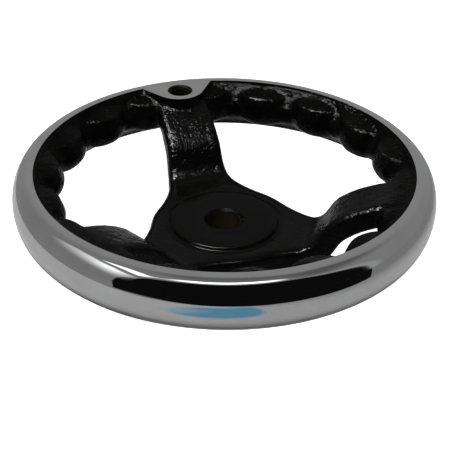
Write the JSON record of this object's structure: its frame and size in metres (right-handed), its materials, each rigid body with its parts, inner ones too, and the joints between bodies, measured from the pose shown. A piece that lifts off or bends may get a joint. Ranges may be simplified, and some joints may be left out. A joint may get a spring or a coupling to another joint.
{
  "type": "machine handwheel",
  "caption": "Dished machine handwheel with a plated rim, finger lobes inside it, ogee arms, a bored hub and a threaded boss for a crank handle.",
  "frame": {"origin": "centre of the hub's rear face, on the axis of the shaft bore", "axes": "+Z along the shaft bore towards the operator, +Y from the axis to the boss for the crank handle, +X to the right as the operator sees it"},
  "size_m": [0.16, 0.16, 0.044],
  "materials": {
    "casting": "black enamel on the rough casting, with a bright plated rim and boss face"
  },
  "bodies": {
    "root": {"handwheel": "casting"}
  },
  "joints": []
}
